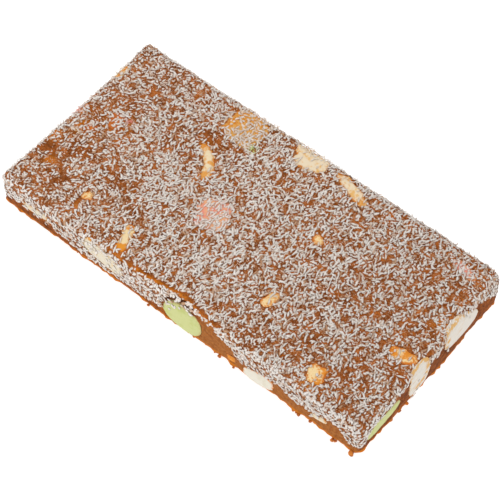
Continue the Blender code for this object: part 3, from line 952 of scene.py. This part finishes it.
def spread(places, chance, gap, draw):
    """Keeps places at random by their chance, none nearer than gap to one kept before."""
    cells, kept = {}, []
    for i in np.nonzero(draw.random(len(places)) < chance)[0]:
        x, y, z = (places[i] // gap).astype(int).tolist()
        around = [(x + a, y + b, z + c) for a in (-1, 0, 1) for b in (-1, 0, 1) for c in (-1, 0, 1)]
        near = [j for key in around for j in cells.get(key, ())]
        if all(((places[j] - places[i]) ** 2).sum() > gap**2 for j in near):
            cells.setdefault((x, y, z), []).append(i)
            kept.append(i)
    return np.array(kept, int)


def flake_axes(normals, spin, pitch):
    """Each flake's own axes as matrices: along it, across it and away from the surface."""
    helper = np.where(np.abs(normals[:, 2:]) < NEARLY_UP, (0, 0, 1), (1, 0, 0))
    first = np.cross(helper, normals)
    first /= np.linalg.norm(first, axis=1)[:, None]
    second = np.cross(normals, first)
    along = first * np.cos(spin)[:, None] + second * np.sin(spin)[:, None]
    across = np.cross(normals, along)
    raised = along * np.cos(pitch)[:, None] + normals * np.sin(pitch)[:, None]
    return np.stack([raised, across, np.cross(raised, across)], 2)


def tint(screen):
    """A screen colour as a row of three linear numbers."""
    return np.array(srgb(*screen)[:3])


def flake_tints(kind, places, below, draw):
    """Each flake's colour: stained by the dough, tinged by the sweet under it, and coloured in spots."""
    stained = (draw.random(len(places)) ** kind.white)[:, None]
    stained[below != NO_SWEET] *= STAIN_ON_SWEETS
    tints = tint(WHITE_COCONUT) * (1 - stained) + tint(STAINED_COCONUT) * stained
    for number, sweet in enumerate(SWEETS):
        here, foam = below == number, FOAMS[sweet.colour]
        share = foam.tinge * draw.random((here.sum(), 1)) ** 2
        tints[here] = tints[here] * (1 - share) + tint(foam.dust) * share
    for middle, reach, colour in COLOURED_SPOTS:
        share = np.exp(-((places[:, :2] / MM - middle) ** 2).sum(1) / reach**2)[:, None]
        tints = tints * (1 - share) + tint(colour) * share
    return tints * np.interp(places[:, 0] / MM, *DULLER_TO_THE_RIGHT)[:, None]


def lay_flakes(kind, places, normals, chance, below, scatter, draw):
    """Flakes of one kind. scatter is how far they turn from along the slab, below the sweets they lie on."""
    kept = spread(places, chance, kind.gap * MM, draw)
    turn = draw.normal(0, 1, len(kept)) * np.broadcast_to(scatter, len(places))[kept]
    places, normals, below, count = places[kept], normals[kept], below[kept], len(kept)
    ranges = (kind.length, kind.width, FLAKE_HEIGHT)
    sizes = np.stack([draw.uniform(*low_high, count) for low_high in ranges], 1) * MM
    tints = flake_tints(kind, places, below, draw)
    lift = draw.uniform(*kind.lift, count) * MM + PROUD * (below != NO_SWEET)
    axes = flake_axes(normals, turn, draw.normal(0, kind.tilt, count))
    bend, arch = draw.normal(0, kind.bend, count), draw.normal(*FLAKE_ARCH, count)
    return Laid(places + normals * lift[:, None], axes, sizes, bend, arch, tints)


def flake_strip(segments):
    """The triangles that join one flake's points, ring by ring, with a cap at each end."""
    ring = np.arange(FLAKE_SIDES)
    beside = (ring + 1) % FLAKE_SIDES
    strip = np.concatenate([
        np.stack([ring, ring + FLAKE_SIDES, beside + FLAKE_SIDES], 1),
        np.stack([ring, beside + FLAKE_SIDES, beside], 1),
    ])
    caps = np.array([ring, ring[::-1] + FLAKE_SIDES * segments])
    template = np.concatenate([*(strip + FLAKE_SIDES * step for step in range(segments)), caps])
    return template[:, ::-1]


def flake_points(laid, segments):
    """Every flake's points, ring by ring along it: bent sideways, arched, and narrow at the ends."""
    length, width, height = (size[:, None] for size in laid.sizes.T)
    steps = np.linspace(-0.5, 0.5, segments + 1)[None]
    bend = np.where(np.abs(laid.bend) < LEAST_BEND, LEAST_BEND, laid.bend)[:, None]
    angle = bend * steps
    x = np.sin(angle) / bend * length
    y = (1 - np.cos(angle)) / bend * length
    z = -laid.arch[:, None] * length * (2 * steps) ** 2
    narrow = 1 - END_NARROWING * np.abs(2 * steps) ** NARROWING_POWER
    rings = []
    for k in range(FLAKE_SIDES):
        turn = math.tau * (k / FLAKE_SIDES + QUARTER_TURN)
        aside = math.cos(turn) * width * FLAKE_HALF[0] * narrow
        up = math.sin(turn) * height * FLAKE_HALF[1] * narrow
        rings.append(np.stack([x - np.sin(angle) * aside, y + np.cos(angle) * aside, z + up], 2))
    local = np.stack(rings, 2).reshape(len(laid.places), -1, 3)
    return np.einsum("nij,nkj->nki", laid.axes, local) + laid.places[:, None]


def add_bake_map(obj, count, segments, template):
    """A UV map that gives each flake a cell of its own."""
    cells = math.ceil(math.sqrt(count))
    index = np.arange(count)
    corner = np.stack([index % cells, index // cells], 1) / cells
    around, along = template % FLAKE_SIDES, template // FLAKE_SIDES
    u = (along + BAKE_MARGIN) / (segments + 1 + BAKE_MARGIN)
    v = (around + BAKE_MARGIN) / (FLAKE_SIDES + BAKE_MARGIN)
    spot = np.stack([u, v], 2).reshape(-1, 2)
    uv = corner[:, None] + spot[None] * BAKE_FILL / cells
    layer = obj.data.uv_layers.new(name="OFBake")
    layer.uv.foreach_set("vector", uv.astype(np.float32).ravel())


def make_flakes(name, laid, segments, material):
    """Joins flakes into meshes of at most COAT_PIECE flakes."""
    template = flake_strip(segments)
    for part, first in enumerate(range(0, len(laid.places), COAT_PIECE)):
        some = Laid(*(rows[first : first + COAT_PIECE] for rows in laid))
        points = flake_points(some, segments)
        count, per_flake = points.shape[:2]
        faces = (template[None] + per_flake * np.arange(count)[:, None, None]).reshape(-1, FLAKE_CORNERS)
        points = points.reshape(-1, 3)
        points[:, 2] = points[:, 2].clip(TINY, COAT_CEILING)
        tints = np.repeat(np.c_[some.tints, np.ones(count)], per_flake, 0)
        obj = mesh_object(f"{name}_{part}", points, faces, material, {"tint": tints})
        add_bake_map(obj, count, segments, template)
        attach(obj, "root")


def make_top_coat(points, faces, blocks, material, draw):
    """The top's coat: flakes half sunk in the dough, and over them short, long and standing ones."""
    places, normals = surface_samples(points, faces, TOP_SAMPLES, draw)
    top = side_of(places, normals) == TOP
    places, normals = places[top], normals[top]
    below = sweets_under(places, blocks)
    chance = covered(top_chance(places), places, below) * (1 - bare_lines(places))
    x, y = places[:, 0] / MM, places[:, 1] / MM
    sunk_chance = SUNK.share * chance**SUNK_POWER * (below == NO_SWEET)
    long_chance = LONG.share * chance**COAT_POWER * np.interp(x, *LONG_IN_THE_MIDDLE)
    hair_chance = HAIR.share * np.maximum(np.interp(y, *HAIR_AT_THE_BACK), np.interp(x, *HAIR_AT_THE_LEFT))
    short_scatter = np.interp(x, *SHORT_SCATTER)
    sunk = lay_flakes(SUNK, places, normals, sunk_chance, below, ANY_WAY, draw)
    kinds = [
        lay_flakes(SHORT, places, normals, SHORT.share * chance**COAT_POWER, below, short_scatter, draw),
        lay_flakes(LONG, places, normals, long_chance, below, LONG_SCATTER, draw),
        lay_flakes(HAIR, places, normals, hair_chance, below, ANY_WAY, draw),
    ]
    make_flakes("coconut_sunk", sunk, COARSE_CUTS, material)
    make_flakes("coconut_top", joined(kinds), FINE_CUTS, material)


def make_side_coat(points, faces, blocks, material, draw):
    """The four sides' coat, down to its lower border, with standing flakes on the back and left."""
    places, normals = surface_samples(points, faces, SIDE_SAMPLES, draw)
    side = side_of(places, normals)
    upright = (side != TOP) & (side != BASE)
    places, normals, side = places[upright], normals[upright], side[upright]
    below = sweets_under(places, blocks)
    above = (places[:, 2] - coat_bottom(places, normals)) / MM
    chance = (above / BORDER_BLEND + SIDE_COAT_START).clip(0, 1)
    chance = covered(chance, places, below) * (1 - bare_lines(places))
    wide_chance = np.interp(places[:, 0] / MM, *WIDE_DENSITY) * chance
    hidden = (side == BACK) | (side == LEFT)
    hair_chance = HAIR.share * hidden * np.interp(places[:, 2], *HAIR_ON_SIDES)
    kinds = [
        lay_flakes(WIDE, places, normals, wide_chance, below, WIDE_SCATTER, draw),
        lay_flakes(HAIR, places, normals, hair_chance, below, ANY_WAY, draw),
    ]
    make_flakes("coconut_sides", joined(kinds), FINE_CUTS, material)


def make_base_coat(points, faces, material, draw):
    """Flakes pressed flat under the base."""
    places, normals = surface_samples(points, faces, BASE_SAMPLES, draw)
    inside = (np.abs(places[:, :2]) < np.array((LENGTH, WIDTH)) / 2 - BASE_MARGIN).all(1)
    base = inside & (side_of(places, normals) == BASE)
    places = places[base] * (1, 1, 0) + (0, 0, BASE_FLAKE_HEIGHT)
    down = np.tile((0.0, 0.0, -1.0), (len(places), 1))
    nothing = np.full(len(places), NO_SWEET)
    laid = lay_flakes(FLAT, places, down, np.full(len(places), FLAT.share), nothing, ANY_WAY, draw)
    make_flakes("coconut_base", laid._replace(arch=laid.arch * 0), COARSE_CUTS, material)


# ---- The crumbs


def small_crumbs(points, faces, draw):
    """Places and half widths of the small crumbs along the base's rim."""
    places, normals = surface_samples(points, faces, CRUMB_SAMPLES, draw)
    low = (places[:, 2] < CRUMB_BELOW) & (np.abs(normals[:, 2]) < CRUMB_UPRIGHT)
    places, normals = places[low], normals[low]
    kept = spread(places, np.full(len(places), CRUMB_CHANCE), CRUMB_GAP, draw)
    halves = draw.uniform(*CRUMB_HALF, len(kept)) * MM
    halves[draw.random(len(kept)) < BIG_CRUMB_SHARE] *= BIG_CRUMB_TIMES
    return places[kept] - normals[kept] * CRUMB_SUNK, halves


def large_crumbs(points):
    """Places and half widths of the large crumbs, each brought to where it just holds to the rim."""
    low, high = CRUMB_RIM
    rim = points[(points[:, 2] > low) & (points[:, 2] < high), :2]
    places = []
    for x, y, width in np.array(LARGE_CRUMBS) * MM:
        away = np.array((x, y)) - rim
        distances = np.linalg.norm(away, axis=1)
        nearest = distances.argmin()
        reach = min(distances[nearest], CRUMB_HOLD * width)
        places.append(rim[nearest] + away[nearest] / max(distances[nearest], TINY) * reach)
    return np.array(places) @ np.eye(2, 3), np.array(LARGE_CRUMBS)[:, 2] * MM / 2


def crumb_lump(way, place, half):
    """One crumb's points round its place: a flattened, bumpy ball just above the floor."""
    bumps = 1 + CRUMB_BUMP * noise_at(way, CRUMB_BUMP_LENGTH, place[0] / MM)[:, None]
    lump = way * half * bumps * CRUMB_FLATNESS + place * (1, 1, 0) + (0, 0, half * CRUMB_RISE)
    lump[:, 2] = lump[:, 2].clip(CRUMB_CLEAR)
    return lump


def make_crumbs(points, faces, draw):
    """Small lumps of dough along the base's rim."""
    kinds = small_crumbs(points, faces, draw), large_crumbs(points)
    places, halves = (np.concatenate(rows) for rows in zip(*kinds))
    way, ball_faces = ball_grid(CRUMB_CUTS)
    lumps = [crumb_lump(way, place, half) for place, half in zip(places, halves)]
    crumb_faces = (ball_faces[None] + len(way) * np.arange(len(lumps))[:, None, None]).reshape(-1, 4)
    crumbs = mesh_object("crumbs", np.concatenate(lumps), crumb_faces, crumb_material())
    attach(crumbs, "root")


# ---- The set


def make_camera():
    """The camera, at the photo's angle, with its roll."""
    azimuth, elevation, roll = (math.radians(angle) for angle in (AZIMUTH, ELEVATION, ROLL))
    level = math.cos(elevation)
    back = Vector((math.sin(azimuth) * level, -math.cos(azimuth) * level, math.sin(elevation)))
    right = (-back).cross(Vector((0, 0, 1))).normalized()
    up = right.cross(-back)
    rolled_right = right * math.cos(roll) + up * math.sin(roll)
    rolled_up = up * math.cos(roll) - right * math.sin(roll)
    data = bpy.data.cameras.new("camera")
    data.lens, data.sensor_width = LENS, SENSOR
    data.clip_start, data.clip_end = CLIP
    camera = bpy.data.objects.new("camera", data)
    place = Matrix.Translation(AIM + Vector(SLAB_MIDDLE) + back * DISTANCE)
    camera.matrix_world = place @ Matrix((rolled_right, rolled_up, back)).transposed().to_4x4()
    bpy.context.scene.collection.objects.link(camera)
    bpy.context.scene.camera = camera


def make_light(name, place, size, power):
    """A square light that faces the origin."""
    data = bpy.data.lights.new(name, "AREA")
    data.energy, data.size = power, size
    lamp = bpy.data.objects.new(name, data)
    lamp.location = place
    lamp.rotation_mode = "QUATERNION"
    lamp.rotation_quaternion = (-Vector(place)).to_track_quat("-Z", "Y")
    bpy.context.scene.collection.objects.link(lamp)


def make_floor():
    """A plain pale floor."""
    s = Shader("floor", Base_Color=FLOOR_GREY, Roughness=0.9)
    s.set(s.bsdf, Emission_Color=WHITE, Emission_Strength=FLOOR_GLOW)
    corners = np.array([(-1, -1, 0), (1, -1, 0), (1, 1, 0), (-1, 1, 0)]) * FLOOR_HALF
    floor = mesh_object("floor", corners, np.array([[0, 1, 2, 3]]), s.material)


def make_studio():
    """Soft white light all round, two lamps and the floor."""
    scene = bpy.context.scene
    scene.view_settings.view_transform = "Standard"
    scene.view_settings.look = "None"
    world = bpy.data.worlds.new("studio")
    world.use_nodes = True
    background = world.node_tree.nodes["Background"]
    background.inputs["Color"].default_value = WHITE
    background.inputs["Strength"].default_value = WORLD_STRENGTH
    scene.world = world
    make_floor()
    for name, (place, size, power) in LIGHTS.items():
        make_light(name, place, size, power)


def main():
    draw = np.random.default_rng(SEED)
    points, faces = slab_surface()
    surface = BVHTree.FromPolygons(points.tolist(), faces.tolist())
    blocks = [sweet_block(sweet) for sweet in SWEETS]
    dough, lumpy_points = make_dough(points, faces, blocks)
    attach(dough, "root")
    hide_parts("cake_body")
    foams = {name: foam_material(name, foam) for name, foam in FOAMS.items()}
    for sweet, block in zip(SWEETS, blocks):
        trimmed, block_faces, values = trim_to_surface(sweet, block, surface)
        piece = mesh_object("foam_" + sweet.name, trimmed, block_faces, foams[sweet.colour], values)
        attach(piece, "root")
        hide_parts(sweet.node)
    coconut = coconut_material()
    make_top_coat(points, faces, blocks, coconut, draw)
    make_side_coat(points, faces, blocks, coconut, draw)
    make_base_coat(points, faces, coconut, draw)
    make_crumbs(lumpy_points, faces, draw)
    make_studio()
    make_camera()


main()
